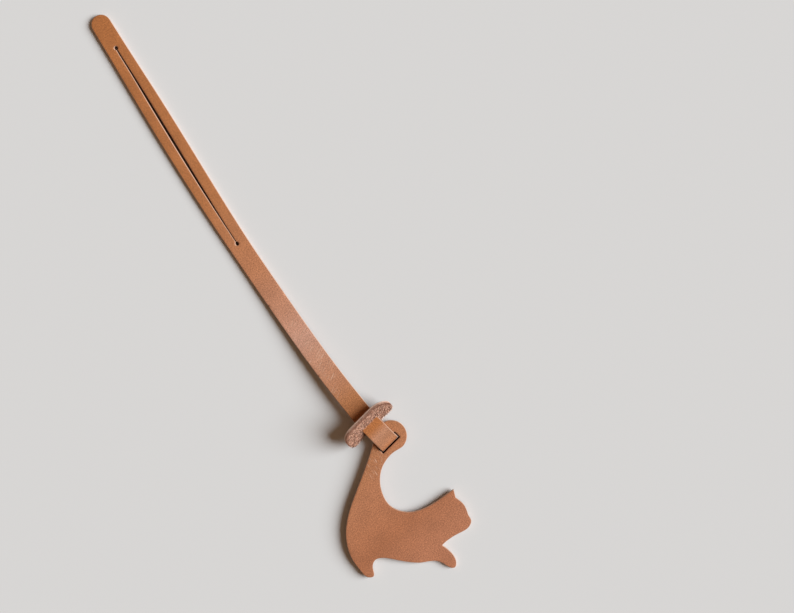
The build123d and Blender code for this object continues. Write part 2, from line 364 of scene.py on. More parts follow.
def cut_outline():
    """Cut in the tab that the strap passes through."""
    half = LOOP_WIDTH / 2 + CUT_PLAY - CUT_CORNER
    rise = CUT_HALF - CUT_CORNER
    middle = TAB_START - CUT_MIDDLE
    steps = np.linspace(-half, half, CUT_SIDE_POINTS)
    return loop_of(
        arc((half, middle + rise), CUT_CORNER, 90, 0, CUT_CORNER_POINTS),
        arc((half, middle - rise), CUT_CORNER, 0, -90, CUT_CORNER_POINTS),
        np.stack([-steps, np.full(CUT_SIDE_POINTS, middle - rise - CUT_CORNER)], 1),
        arc((-half, middle - rise), CUT_CORNER, 270, 180, CUT_CORNER_POINTS),
        arc((-half, middle + rise), CUT_CORNER, 180, 90, CUT_CORNER_POINTS),
        np.stack([steps, np.full(CUT_SIDE_POINTS, middle + rise + CUT_CORNER)], 1),
    )


# Cutting a sheet and folding it
STRAP_GRID, LOOP_GRID, CHARM_GRID = 0.9, 0.45, 0.9
RING_SHARES = (0.12, 0.3, 0.6, 1)
RING_CLEARANCE = 0.9
LATTICE_CLEARANCE = 0.75
LEAST_MITRE = 0.2
WALL_LEVELS = (0.75, 0.5, 0.25)
SLIT_CLOSING_SHARE = 0.9
SLOT_CLOSING = 0.5
ON_SEAM = 1e-6
MERGE_REACH = 1e-7
FAR_AWAY = 1e9
UV_PER_MM = 0.01
MM_PER_UV = 1 / UV_PER_MM
GRAIN_FACE, FLESH_FACE, EDGE_FACE, INNER_FACE, TAB_EDGE_FACE, TAB_FLESH_FACE = range(6)


def from_edges(points, starts, ends):
    """Distance of each point from the nearest of the edges."""
    nearest = np.full(len(points), FAR_AWAY)
    for a, b in zip(starts, ends):
        run = b - a
        share = np.clip(((points - a) @ run) / (run @ run), 0, 1)
        nearest = np.minimum(nearest, np.hypot(*(points - a - share[:, None] * run).T))
    return nearest


def within(points, outlines):
    """Whether each point is on the leather: inside the outer line and outside the holes."""
    crossings = np.zeros(len(points), int)
    for outline in outlines:
        for a, b in zip(outline, np.roll(outline, -1, 0)):
            spans = (a[1] > points[:, 1]) != (b[1] > points[:, 1])
            if a[1] != b[1]:
                edge = a[0] + (points[:, 1] - a[1]) * (b[0] - a[0]) / (b[1] - a[1])
                crossings += spans & (points[:, 0] < edge)
    return crossings % 2 == 1


def rounding(distance, radius):
    """How far a face drops towards a cut edge with a rounded corner."""
    short = np.clip(radius - distance, 0, radius)
    return radius - np.sqrt(radius ** 2 - short ** 2)


def open_below(points, share):
    """Points of a hole that goes straight down."""
    return points


def slit_closing(points, share):
    """Slit points drawn together below the surface, where the fibres of the hide still meet."""
    middle = slit_shift(points[:, 1])
    across = middle + (points[:, 0] - middle) * (1 - SLIT_CLOSING_SHARE * share)
    return np.stack([across, points[:, 1]], 1)


def slot_closing(points, share):
    """Slot points drawn in below the surface, on the far side from the rim and at both ends."""
    rim_side, far_side, right_end = points[:, 1].max(), points[:, 1].min(), points[:, 0].max()
    x = points[:, 0] - SLOT_CLOSING * share * points[:, 0] / right_end
    y = points[:, 1] + SLOT_CLOSING * share * (rim_side - points[:, 1]) / (rim_side - far_side)
    return np.stack([x, y], 1)


def inward_from(outlines, starts, ends):
    """Direction into the leather at each point of the outlines."""
    run = ends - starts
    normal = np.stack([-run[:, 1], run[:, 0]], 1) / np.hypot(*run.T)[:, None]
    inward, before = [], 0
    for outline in outlines:
        own = normal[before:before + len(outline)]
        mean = own + np.roll(own, 1, 0)
        inward.append(mean / np.maximum(np.hypot(*mean.T), LEAST_MITRE)[:, None])
        before += len(outline)
    return np.concatenate(inward)


def sheet_points(outlines, starts, ends, inward, radius, grid):
    """Points on the outlines, on rings where the edge is rounded, and on a lattice over the rest."""
    low, high = starts.min(0), starts.max(0)
    columns, rows = [np.arange(low[k] + grid / 2, high[k], grid) for k in (0, 1)]
    lattice = np.stack(np.meshgrid(columns, rows), -1).reshape(-1, 2)
    lattice = lattice[within(lattice, outlines)]
    lattice = lattice[from_edges(lattice, starts, ends) > LATTICE_CLEARANCE * grid]
    rings = []
    for share in RING_SHARES:
        depth = share * radius
        ring = starts + inward * depth[:, None]
        clear = within(ring, outlines) & (from_edges(ring, starts, ends) > RING_CLEARANCE * depth)
        rings.append(ring[clear])
    return np.concatenate([starts] + rings + [lattice])


def triangulated(points, outlines):
    """Flat points, triangles that turn to the left, and the outlines' edges as pairs of points."""
    loops, before = [], 0
    for outline in outlines:
        count = len(outline)
        loops += [(before + k, before + (k + 1) % count) for k in range(count)]
        before += count
    made = geometry.delaunay_2d_cdt([tuple(p) for p in points], loops, [], 0, MERGE_REACH, True)
    flat = np.array([tuple(p) for p in made[0]])
    triangles = np.array([f for f in made[2] if len(f) == 3])
    triangles = triangles[within(flat[triangles].mean(1), outlines)]
    a, b, c = (flat[triangles[:, k]] for k in range(3))
    turned = (b[:, 0] - a[:, 0]) * (c[:, 1] - a[:, 1]) - (b[:, 1] - a[:, 1]) * (c[:, 0] - a[:, 0]) < 0
    triangles[turned] = triangles[turned][:, ::-1]
    place = {}
    for new, olds in enumerate(made[3]):
        for old in olds:
            place[old] = new
    border = np.array([(place[first], place[second]) for first, second in loops])
    return flat, triangles, border


def edge_drops(flat, starts, ends, radius):
    """Distance of each point from a cut edge, as a share of its rounding, and the drop of both faces."""
    count = len(flat)
    edge_share, top_drop, under_drop = np.full(count, FAR_AWAY), np.zeros(count), np.zeros(count)
    for each in np.unique(radius):
        own = radius == each
        away = from_edges(flat, starts[own], ends[own])
        edge_share = np.minimum(edge_share, away / each)
        top_drop = np.maximum(top_drop, rounding(away, each))
        under_drop = np.maximum(under_drop, rounding(away, each * FLESH_SHARE))
    return edge_share, top_drop, under_drop


def put_attribute(mesh, name, kind, domain, values):
    mesh.attributes.new(name, kind, domain).data.foreach_set("value", values)


def leather_sheet(name, outlines, rounds, seams, shape, grid, materials, closing=open_below):
    """Closed sheet of leather, cut to outlines and folded to shape.

    The first outline is the outer one and the rest are holes, clockwise. Each has its own rounding.
    """
    starts = np.concatenate(outlines)
    ends = np.concatenate([np.roll(outline, -1, 0) for outline in outlines])
    is_seam = np.zeros(len(starts), bool)
    for seam in seams:
        is_seam |= (np.abs(starts[:, 1] - seam) < ON_SEAM) & (np.abs(ends[:, 1] - seam) < ON_SEAM)
    radius = np.repeat(rounds, [len(outline) for outline in outlines])
    inward = inward_from(outlines, starts, ends)
    flat, triangles, border = triangulated(
        sheet_points(outlines, starts, ends, inward, radius, grid), outlines)
    edge_share, top_drop, under_drop = edge_drops(
        flat, starts[~is_seam], ends[~is_seam], radius[~is_seam])

    # Both faces, and rows of points down the cut walls
    count = len(flat)
    rim = border[:, 0]
    outer = len(outlines[0])
    upper, lower = THICKNESS / 2 - top_drop[rim], -THICKNESS / 2 + under_drop[rim]
    walls = []
    for level in WALL_LEVELS:
        sunk = np.concatenate([flat[rim[:outer]], closing(flat[rim[outer:]], 1 - level)])
        walls.append(shape(sunk, lower + (upper - lower) * level))
    below = flat.copy()
    below[rim[outer:]] = closing(flat[rim[outer:]], 1)
    top = shape(flat, THICKNESS / 2 - top_drop)
    under = shape(below, -THICKNESS / 2 + under_drop)
    points = np.concatenate([top, under] + walls)

    # Faces, with the flat place of each corner; the walls are laid flat outside the outline
    ring_of = {vertex: k for k, vertex in enumerate(rim)}
    after = np.array([ring_of[second] for second in border[:, 1]])
    own = np.arange(len(rim))
    stack = [rim] + [2 * count + k * len(rim) + own for k in range(len(walls))] + [rim + count]
    faces = [tuple(t) for t in triangles] + [tuple(t[::-1] + count) for t in triangles]
    kinds = [GRAIN_FACE] * len(triangles) + [FLESH_FACE] * len(triangles)
    spread = [tuple(flat[v]) for t in triangles for v in t]
    spread += [tuple(flat[v]) for t in triangles for v in t[::-1]]
    depths = np.linspace(0, THICKNESS, len(stack))
    for level in range(len(stack) - 1):
        upper_row, lower_row = stack[level], stack[level + 1]
        shallow, deep = depths[level], depths[level + 1]
        for k in own:
            n = after[k]
            faces.append((upper_row[k], lower_row[k], lower_row[n], upper_row[n]))
            kinds.append(EDGE_FACE if k < outer else INNER_FACE)
            for at, depth in ((k, shallow), (k, deep), (n, deep), (n, shallow)):
                spread.append(tuple(flat[rim[at]] - inward[at] * depth))

    # Mesh, with how near a cut edge and how deep in the leather each point is
    mesh = bpy.data.meshes.new(name)
    mesh.from_pydata((points * MM).tolist(), [], [tuple(int(v) for v in f) for f in faces])
    layer = mesh.uv_layers.new(name="flat")
    layer.data.foreach_set("uv", (np.array(spread) * UV_PER_MM).astype(np.float32).ravel())
    mesh.polygons.foreach_set("material_index", np.array(kinds, np.int32))
    mesh.polygons.foreach_set("use_smooth", np.ones(len(faces), bool))
    wall_depth = np.repeat(1 - np.array(WALL_LEVELS), len(rim))
    shares = np.concatenate([edge_share, edge_share, np.zeros(len(wall_depth))])
    put_attribute(mesh, "edge_share", "FLOAT", "POINT", shares.astype(np.float32))
    depth = np.concatenate([np.zeros(count), np.ones(count), wall_depth])
    put_attribute(mesh, "depth", "FLOAT", "POINT", depth.astype(np.float32))
    for material in materials:
        mesh.materials.append(material)
    on_seam = np.nonzero(is_seam)[0]
    seam_points = {int(row[k]) for row in stack for k in [*on_seam, *after[on_seam]]}
    sharp = [e.vertices[0] in seam_points and e.vertices[1] in seam_points for e in mesh.edges]
    put_attribute(mesh, "sharp_edge", "BOOLEAN", "EDGE", sharp)
    mesh.validate()
    mesh.update()
    sheet = bpy.data.objects.new(name, mesh)
    bpy.context.scene.collection.objects.link(sheet)
    return sheet


# Building materials from nodes
DULL_GLOSS = 0.1
NOISE_LOW, NOISE_HIGH = 0.3, 0.7


def nodes_of(material_name):
    """New material, its node tree and its shader."""
    material = bpy.data.materials.new(material_name)
    material.use_nodes = True
    tree = material.node_tree
    return material, tree, tree.nodes["Principled BSDF"]


def feed(tree, socket, value):
    """Links a socket to another one, or gives it a value."""
    if isinstance(value, bpy.types.NodeSocket):
        tree.links.new(value, socket)
    else:
        socket.default_value = value


def put(tree, kind, settings=None, **sockets):
    """Adds a node. Sockets go by name, with underscores for spaces, or by number, as i0 or i1."""
    made = tree.nodes.new(kind)
    for key, value in (settings or {}).items():
        setattr(made, key, value)
    for key, value in sockets.items():
        numbered = key[0] == "i" and key[1:].isdigit()
        feed(tree, made.inputs[int(key[1:]) if numbered else key.replace("_", " ")], value)
    return made


def calculated(tree, operation, first, second):
    """Result of one operation on two values."""
    return put(tree, "ShaderNodeMath", {"operation": operation}, i0=first, i1=second).outputs["Value"]


def scaled(tree, vector, scale):
    """Vector or colour times a value."""
    made = put(tree, "ShaderNodeVectorMath", {"operation": "SCALE"}, Vector=vector, Scale=scale)
    return made.outputs["Vector"]


def remapped(tree, value, low, high, to_low, to_high):
    """Value carried from one range to another."""
    made = put(tree, "ShaderNodeMapRange", Value=value, From_Min=low, From_Max=high,
               To_Min=to_low, To_Max=to_high)
    return made.outputs["Result"]


def noise(tree, vector, **sockets):
    """Noise over a position."""
    return put(tree, "ShaderNodeTexNoise", Vector=vector, **sockets).outputs["Fac"]


def attribute_of(tree, name):
    """Value that a leather sheet carries at each point."""
    return put(tree, "ShaderNodeAttribute", {"attribute_name": name}).outputs["Fac"]


def flat_millimetres(tree):
    """Flat position on the hide, in millimetres, from the sheet's own UV map."""
    return scaled(tree, put(tree, "ShaderNodeUVMap", {"uv_map": "flat"}).outputs["UV"], MM_PER_UV)


def linear(red, green, blue):
    """Colour as written on a 0 to 255 screen scale, for a shader socket."""
    parts = [c / 255 for c in (red, green, blue)]
    return tuple(c / 12.92 if c <= 0.04045 else ((c + 0.055) / 1.055) ** 2.4 for c in parts) + (1.0,)


def mixed(tree, share, first, second):
    """Colour between two colours."""
    made = tree.nodes.new("ShaderNodeMix")
    made.data_type = "RGBA"
    feed(tree, made.inputs["Factor"], share)
    feed(tree, made.inputs[6], first)
    feed(tree, made.inputs[7], second)
    return made.outputs[2]


def ramped(tree, value, stops):
    """Colour that changes along a value, from stops of value and colour."""
    low, high = stops[0][0], stops[-1][0]
    made = put(tree, "ShaderNodeValToRGB", Fac=remapped(tree, value, low, high, 0.0, 1.0))
    elements = made.color_ramp.elements
    while len(elements) < len(stops):
        elements.new(0.5)
    for element, (at, colour) in zip(elements, stops):
        element.position = (at - low) / (high - low)
        element.color = colour
    return made.outputs["Color"]


def dulled(shader, roughness):
    """Gives a shader a dull finish."""
    shader.inputs["Roughness"].default_value = roughness
    shader.inputs["Specular IOR Level"].default_value = DULL_GLOSS


def group(name, inputs, outputs):
    """New shader node group, its inputs to read and its outputs to fill."""
    tree = bpy.data.node_groups.new(name, "ShaderNodeTree")
    for label, kind in inputs:
        tree.interface.new_socket(label, in_out="INPUT", socket_type=kind)
    for label, kind in outputs:
        tree.interface.new_socket(label, in_out="OUTPUT", socket_type=kind)
    return tree, tree.nodes.new("NodeGroupInput").outputs, tree.nodes.new("NodeGroupOutput").inputs


# Leather
SCRATCH_COLOUR = linear(224, 186, 160)
EDGE_BAND_DARK_COLOUR = linear(112, 62, 36)
RAW_RIM_AND_HIGHLIGHT_COLOUR = linear(214, 180, 156)
LIP_HIGHLIGHT_COLOUR = linear(255, 226, 206)
CREASE_SHADE_COLOUR = linear(88, 50, 36)
DEEP_CUT_SHADE_COLOUR = linear(58, 34, 22)
CUT_FLOOR_SHADE_COLOUR = linear(40, 22, 14)
CLOUD_SHADE = (0.90, 1.08)
SPECK_SHADE = (0.52, 1.45)
GRAIN_ROUGHNESS = (0.64, 0.52)
GRAIN_GLOSS = 0.25
GRAIN_RELIEF, GRAIN_DEPTH = 0.35, 0.06 * MM
NAP_DEPTH = 0.25 * MM
NAP_ROUGHNESS = 0.95
FIBRE_ROUGHNESS = 0.9
PEBBLE_VALLEY, PEBBLE_SHARE = 0.22, 0.5
MOTTLE_SHARE = 0.8
HAIR_LOW, HAIR_HIGH = 0.60, 0.70
EDGE_BAND_DARK_REACH, EDGE_BAND_DARK_SHARE = (2.2, 1.0), 0.2
RIM_REACH, RIM_SHARE = (0.85, 0.25), 0.65
LIP_REACH = (0.45, 0.2)
BORDER_REACH = (4.0, 2.0)
FIBRE_LOW, FIBRE_HIGH = 0.75, 1.25
WALL_SHADE = (0.8, 1.15)


def grain_group():
    """Grain of the smooth side from flat millimetres: clouds, mottling, pebbles and hair scratches."""
    tree, given, result = group(
        "Hide grain",
        [("Flat", "NodeSocketVector"), ("Lines", "NodeSocketVector")],
        [("Cloud", "NodeSocketFloat"), ("Mottle", "NodeSocketFloat"), ("Scratch", "NodeSocketFloat"),
         ("Height", "NodeSocketFloat")],
    )
    flat = given["Flat"]
    cloud = noise(tree, flat, Scale=0.11, Detail=3.0, Roughness=0.55)
    mottle = noise(tree, flat, Scale=2.0, Detail=4.0, Roughness=0.7)
    pebble = put(tree, "ShaderNodeTexVoronoi", {"feature": "DISTANCE_TO_EDGE"}, Vector=flat, Scale=3.4)
    valley = remapped(tree, pebble.outputs["Distance"], 0.0, PEBBLE_VALLEY, 0.0, PEBBLE_SHARE)
    height = put(tree, "ShaderNodeMath", {"operation": "MULTIPLY_ADD"}, i0=mottle, i1=MOTTLE_SHARE,
                 i2=valley)
    hairs = noise(tree, given["Lines"], Scale=1.0, Detail=2.0)
    line = put(tree, "ShaderNodeMapRange", {"interpolation_type": "SMOOTHSTEP"}, Value=hairs,
               From_Min=HAIR_LOW, From_Max=HAIR_HIGH)
    tree.links.new(cloud, result["Cloud"])
    tree.links.new(mottle, result["Mottle"])
    tree.links.new(line.outputs["Result"], result["Scratch"])
    tree.links.new(height.outputs["Value"], result["Height"])
    return tree


def nap_group():
    """Short fibres of the flesh side and of the cut edges, from flat millimetres."""
    tree, given, result = group(
        "Hide nap",
        [("Flat", "NodeSocketVector")],
        [("Fibre", "NodeSocketFloat"), ("Patch", "NodeSocketFloat"), ("Height", "NodeSocketFloat")],
    )
    patch = noise(tree, given["Flat"], Scale=0.75, Detail=4.0, Roughness=0.7)
    curl = noise(tree, given["Flat"], Scale=3.2, Detail=3.0, Roughness=0.7, Distortion=1.6)
    tree.links.new(curl, result["Fibre"])
    tree.links.new(patch, result["Patch"])
    tree.links.new(calculated(tree, "ADD", patch, curl), result["Height"])
    return tree


GRAIN = grain_group()
NAP = nap_group()


def grain_leather(name, tones, rubbed, lines):
    """Smooth side: colour along the piece from tones, fine lines where it is rubbed, paler at cut edges.

    The tones are rows of a flat length, red, green and blue. The rubbed place is a point and a reach.
    The lines are a direction, a length and a spacing.
    """
    material, tree, shader = nodes_of(name)
    rub_point, rub_reach = rubbed
    direction, length, spacing = lines
    flat = flat_millimetres(tree)
    turned = put(tree, "ShaderNodeMapping", {"vector_type": "TEXTURE"}, Vector=flat,
                 Rotation=(0, 0, math.radians(direction)), Scale=(length, spacing, 1)).outputs["Vector"]
    hide = put(tree, "ShaderNodeGroup", {"node_tree": GRAIN}, Flat=flat, Lines=turned).outputs
    along = put(tree, "ShaderNodeSeparateXYZ", Vector=flat).outputs["Y"]
    colour = ramped(tree, along, [(at, linear(*parts)) for at, *parts in tones])
    shade = remapped(tree, hide["Cloud"], NOISE_LOW, NOISE_HIGH, *CLOUD_SHADE)
    speck = remapped(tree, hide["Mottle"], NOISE_LOW, NOISE_HIGH, *SPECK_SHADE)
    toned = scaled(tree, colour, calculated(tree, "MULTIPLY", shade, speck))
    away = put(tree, "ShaderNodeVectorMath", {"operation": "DISTANCE"}, i0=flat, i1=rub_point)
    near = remapped(tree, away.outputs["Value"], rub_reach, 0.0, 0.0, 1.0)
    scratch = calculated(tree, "MULTIPLY", hide["Scratch"], near)
    worn = mixed(tree, scratch, toned, SCRATCH_COLOUR)
    edge = attribute_of(tree, "edge_share")
    # Darker band just inside each cut edge.
    dark = mixed(tree, remapped(tree, edge, *EDGE_BAND_DARK_REACH, 0.0, EDGE_BAND_DARK_SHARE), worn, EDGE_BAND_DARK_COLOUR)
    # Paler rim at every cut edge: partly the raw leather's own colour, partly a painted highlight of the
    # lit rounded edge.
    pale = mixed(tree, remapped(tree, edge, *RIM_REACH, 0.0, RIM_SHARE), dark, RAW_RIM_AND_HIGHLIGHT_COLOUR)
    tree.links.new(pale, shader.inputs["Base Color"])
    bump = put(tree, "ShaderNodeBump", Strength=GRAIN_RELIEF, Distance=GRAIN_DEPTH, Height=hide["Height"])
    tree.links.new(bump.outputs["Normal"], shader.inputs["Normal"])
    rough = remapped(tree, hide["Mottle"], NOISE_LOW, NOISE_HIGH, *GRAIN_ROUGHNESS)
    tree.links.new(rough, shader.inputs["Roughness"])
    shader.inputs["Specular IOR Level"].default_value = GRAIN_GLOSS
    return material


def nap_leather(name, dark, pale, relief, lip=0.0, border=0.0):
    """Flesh side or cut edge: dull fibres in two colours.

    The lip is the share of painted highlight next to the grain, and the border the share of painted
    crease shade darkening it towards the outline.
    """
    material, tree, shader = nodes_of(name)
    hide = put(tree, "ShaderNodeGroup", {"node_tree": NAP}, Flat=flat_millimetres(tree)).outputs
    both = calculated(tree, "ADD", hide["Fibre"], hide["Patch"])
    colour = mixed(tree, remapped(tree, both, FIBRE_LOW, FIBRE_HIGH, 0.0, 1.0), dark, pale)
    # Painted crease shade darkening the flesh towards the outline.
    if border:
        edge = attribute_of(tree, "edge_share")
        colour = mixed(tree, remapped(tree, edge, *BORDER_REACH, 0.0, border), colour, CREASE_SHADE_COLOUR)
    # Painted highlight along the wall's grain-side lip.
    if lip:
        depth = attribute_of(tree, "depth")
        colour = mixed(tree, remapped(tree, depth, *LIP_REACH, 0.0, lip), colour, LIP_HIGHLIGHT_COLOUR)
    tree.links.new(colour, shader.inputs["Base Color"])
    bump = put(tree, "ShaderNodeBump", Strength=relief, Distance=NAP_DEPTH, Height=hide["Height"])
    tree.links.new(bump.outputs["Normal"], shader.inputs["Normal"])
    dulled(shader, NAP_ROUGHNESS)
    return material


def inner_cut(name, lip, below_lip):
    """Wall of a slit or slot: lighter where it was cut at the grain, and darkened further in by painted
    shade.
    """
    material, tree, shader = nodes_of(name)
    hide = put(tree, "ShaderNodeGroup", {"node_tree": NAP}, Flat=flat_millimetres(tree)).outputs
    stops = [(0.0, lip), (0.2, below_lip), (0.4, DEEP_CUT_SHADE_COLOUR), (1.0, CUT_FLOOR_SHADE_COLOUR)]
    wall = ramped(tree, attribute_of(tree, "depth"), stops)
    shade = remapped(tree, hide["Fibre"], NOISE_LOW, NOISE_HIGH, *WALL_SHADE)
    tree.links.new(scaled(tree, wall, shade), shader.inputs["Base Color"])
    dulled(shader, NAP_ROUGHNESS)
    return material


# The strap's tones hold painted light: the paler stretch from about 30 to 86 mm along, highest at 53, and
# the pale stops just past the fold are painted sheen; the darker stops at -8 and -2 round the fold are
# painted shade.
strap_grain = grain_leather(
    "strap_grain",
    [
        (-8, 159, 100, 64),
        (-2, 162, 104, 68),
        (0.5, 184, 128, 94),
        (3, 196, 140, 107),
        (6.2, 180, 112, 62),
        (22, 181, 120, 78),
        (30, 189, 130, 96),
        (42, 198, 143, 114),
        (53, 204, 153, 129),
        (66, 193, 137, 108),
        (86, 186, 124, 87),
        (122, 178, 114, 69),
        (209, 172, 107, 60),
    ],
    rubbed=((0.0, 46.0, 0.0), 30.0),
    lines=(26.0, 6.0, 0.42),
)
charm_grain = grain_leather(
    "charm_grain",
    [
        (-60, 175, 113, 81),
        (-45, 179, 117, 84),
        (-30, 169, 107, 72),
        (-12, 180, 118, 82),
        (10, 170, 113, 72),
    ],
    rubbed=((-10.9, -4.0, 0.0), 7.0),
    lines=(75.0, 4.5, 0.42),
)
flesh = nap_leather("flesh_side", linear(136, 92, 72), linear(206, 160, 136), relief=0.6)
# A faint painted highlight at the grain-side lip of the cut edges.
cut_edge = nap_leather("cut_edge", linear(168, 124, 102), linear(224, 184, 162), relief=0.2, lip=0.2)
# The tab's flesh is painted darker than the flesh side elsewhere: partly its own colour, partly painted
# shade. Its border carries painted crease shade, and its cut edge a strong painted highlight at the lip.
tab_flesh = nap_leather("tab_flesh", linear(84, 48, 35), linear(206, 155, 128), relief=0.8, border=0.55)
tab_edge = nap_leather("tab_edge", linear(146, 102, 84), linear(238, 190, 166), relief=0.8, lip=0.9)
slit_wall = inner_cut("slit_wall", linear(222, 180, 156), linear(190, 146, 122))
# The slot's walls are painted dark all the way up, as painted shade in the slot.
slot_wall = inner_cut("slot_wall", linear(150, 100, 72), linear(60, 36, 24))
strap_finishes = [strap_grain, flesh, cut_edge, slit_wall]
TAB_FINISH = {FLESH_FACE: TAB_FLESH_FACE, EDGE_FACE: TAB_EDGE_FACE}

# The strap's three pieces of leather
slit_strap = leather_sheet(
    "strap_slit_end_leather", [upper_outline(), slit_outline()], [EDGE_ROUND, CUT_ROUND],
    [UPPER_SEAM], strap_shape, STRAP_GRID, strap_finishes, slit_closing)
middle_strap = leather_sheet(
    "strap_middle_leather", [middle_outline()], [EDGE_ROUND],
    [UPPER_SEAM, LOWER_SEAM], strap_shape, STRAP_GRID, strap_finishes[:INNER_FACE])
loop_strap = leather_sheet(
    "strap_loop_leather", [loop_outline(), cut_outline()], [EDGE_ROUND, CUT_ROUND],
    [LOWER_SEAM], strap_shape, LOOP_GRID, strap_finishes + [tab_edge, tab_flesh])
flat_place = loop_strap.data.uv_layers["flat"].data
for face in loop_strap.data.polygons:
    nearest_fold = max(flat_place[k].uv.y for k in face.loop_indices) * MM_PER_UV
    if face.material_index in TAB_FINISH and nearest_fold < TAB_START:
        face.material_index = TAB_FINISH[face.material_index]


for piece, upper, lower, length, reach in (
    (slit_strap, "slit_end", "middle", UPPER_BEND, BEND_REACH),
    (middle_strap, "middle", "lower", LOWER_BEND, BEND_REACH),
    (loop_strap, "lower", "loop", LOOP_BEND, LOOP_BEND_REACH),
):
    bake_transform(piece)
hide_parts("strap_rounded_end", "slit_left_strip", "slit_right_strip",
            "strap_slit_foot", "strap_middle")
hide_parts("strap_lower")
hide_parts("strap_loop")

# Nap on the tab's flesh side
NAP_PER_AREA = 24e6
NAP_LENGTH = 0.6 * MM
NAP_RADIUS = 0.036 * MM
NAP_TIP_SHARE = 0.3
NAP_SIDES, NAP_STEPS = 3, 3
NAP_CURL = 0.7
NAP_TILT = 1.25
NAP_LEAST, NAP_MOST = 0.5, 1.3
NAP_SEED = 3
NAP_BORDER = 0.55
NAP_PATCHES = 1500.0
NAP_PATCH_LOW, NAP_PATCH_HIGH = 0.42, 0.55
FIBRE_BROWN = linear(88, 48, 34)
FIBRE_PALE = linear(255, 212, 186)


def nap_nodes(material):
    """Scatters short curled fibres over a surface, lying most ways, as one mesh."""
    tree = bpy.data.node_groups.new("Nap fibres", "GeometryNodeTree")
    for label, kind in (
        ("Ground", "Geometry"),
        ("Fibres per area", "Float"),
        ("Length", "Float"),
        ("Seed", "Int"),
    ):
        tree.interface.new_socket(label, in_out="INPUT", socket_type="NodeSocket" + kind)
    tree.interface.new_socket("Nap", in_out="OUTPUT", socket_type="NodeSocketGeometry")
    given = tree.nodes.new("NodeGroupInput").outputs
    result = tree.nodes.new("NodeGroupOutput").inputs
    length, seed = given["Length"], given["Seed"]

    # One fibre, curling more towards its tip
    fibre = put(tree, "GeometryNodeMeshCone", {"fill_type": "NGON"}, Vertices=NAP_SIDES,
                Side_Segments=NAP_STEPS, Radius_Top=NAP_TIP_SHARE * NAP_RADIUS,
                Radius_Bottom=NAP_RADIUS, Depth=length)
    place = put(tree, "GeometryNodeInputPosition").outputs["Position"]
    height = put(tree, "ShaderNodeSeparateXYZ", Vector=place).outputs["Z"]
    square = calculated(tree, "POWER", calculated(tree, "DIVIDE", height, length), 2.0)
    aside = calculated(tree, "MULTIPLY", square, calculated(tree, "MULTIPLY", length, NAP_CURL))
    shift = put(tree, "ShaderNodeCombineXYZ", X=aside).outputs["Vector"]
    curled = put(tree, "GeometryNodeSetPosition", Geometry=fibre.outputs["Mesh"], Offset=shift)

    # Many of them, leaning and sized by chance
    spots = put(tree, "GeometryNodeDistributePointsOnFaces", Mesh=given["Ground"],
                Density=given["Fibres per area"], Seed=seed).outputs
    lean = put(tree, "FunctionNodeRandomValue", {"data_type": "FLOAT_VECTOR"},
               Min=(-NAP_TILT, -NAP_TILT, -math.pi), Max=(NAP_TILT, NAP_TILT, math.pi), Seed=seed)
    turn = put(tree, "FunctionNodeEulerToRotation", Euler=lean.outputs["Value"])
    turned = put(tree, "FunctionNodeRotateRotation", {"rotation_space": "LOCAL"},
                 Rotation=spots["Rotation"], Rotate_By=turn.outputs["Rotation"])
    size = put(tree, "FunctionNodeRandomValue", {"data_type": "FLOAT"}, i2=NAP_LEAST, i3=NAP_MOST,
               Seed=seed)
    spread = put(tree, "GeometryNodeInstanceOnPoints", Points=spots["Points"],
                 Instance=curled.outputs["Geometry"], Rotation=turned.outputs["Rotation"],
                 Scale=size.outputs[1])
    real = put(tree, "GeometryNodeRealizeInstances", Geometry=spread.outputs["Instances"])
    finished = put(tree, "GeometryNodeSetMaterial", Geometry=real.outputs["Geometry"], Material=material)
    tree.links.new(finished.outputs["Geometry"], result["Nap"])
    return tree


def nap_ground(sheet):
    """Flesh side of the tab as its own surface, without its upper border, where the painted crease shade
    shows.
    """
    from_edge = [EDGE_ROUND * item.value for item in sheet.data.attributes["edge_share"].data]
    place = sheet.data.uv_layers["flat"].data
    crease_from = (TAB_START - TAB_NECK - TAB_HEIGHT / 2) / MM_PER_UV
    faces = [
        tuple(f.vertices) for f in sheet.data.polygons
        if f.material_index == TAB_FLESH_FACE and (
            place[f.loop_start].uv.y > crease_from or min(from_edge[v] for v in f.vertices) > NAP_BORDER
        )
    ]
    kept = sorted({v for face in faces for v in face})
    order = {v: k for k, v in enumerate(kept)}
    mesh = bpy.data.meshes.new("tab_ground")
    mesh.from_pydata([tuple(sheet.data.vertices[v].co) for v in kept], [],
                     [tuple(order[v] for v in face) for face in faces])
    ground = bpy.data.objects.new("tab_ground", mesh)
    bpy.context.scene.collection.objects.link(ground)
    return ground


def nap_on_tab(sheet, material):
    """Fibres over the tab's flesh side, as a plain mesh."""
    ground = nap_ground(sheet)
    tree = nap_nodes(material)
    modifier = ground.modifiers.new("nap", "NODES")
    modifier.node_group = tree
    inputs = {item.name: item.identifier for item in tree.interface.items_tree if item.in_out == "INPUT"}
    modifier[inputs["Fibres per area"]] = NAP_PER_AREA
    modifier[inputs["Length"]] = NAP_LENGTH
    modifier[inputs["Seed"]] = NAP_SEED
    depsgraph = bpy.context.evaluated_depsgraph_get()
    mesh = bpy.data.meshes.new_from_object(ground.evaluated_get(depsgraph))
    mesh.name = "tab_nap"
    bpy.data.objects.remove(ground)
    fibres = bpy.data.objects.new("tab_nap", mesh)
    bpy.context.scene.collection.objects.link(fibres)
    return fibres


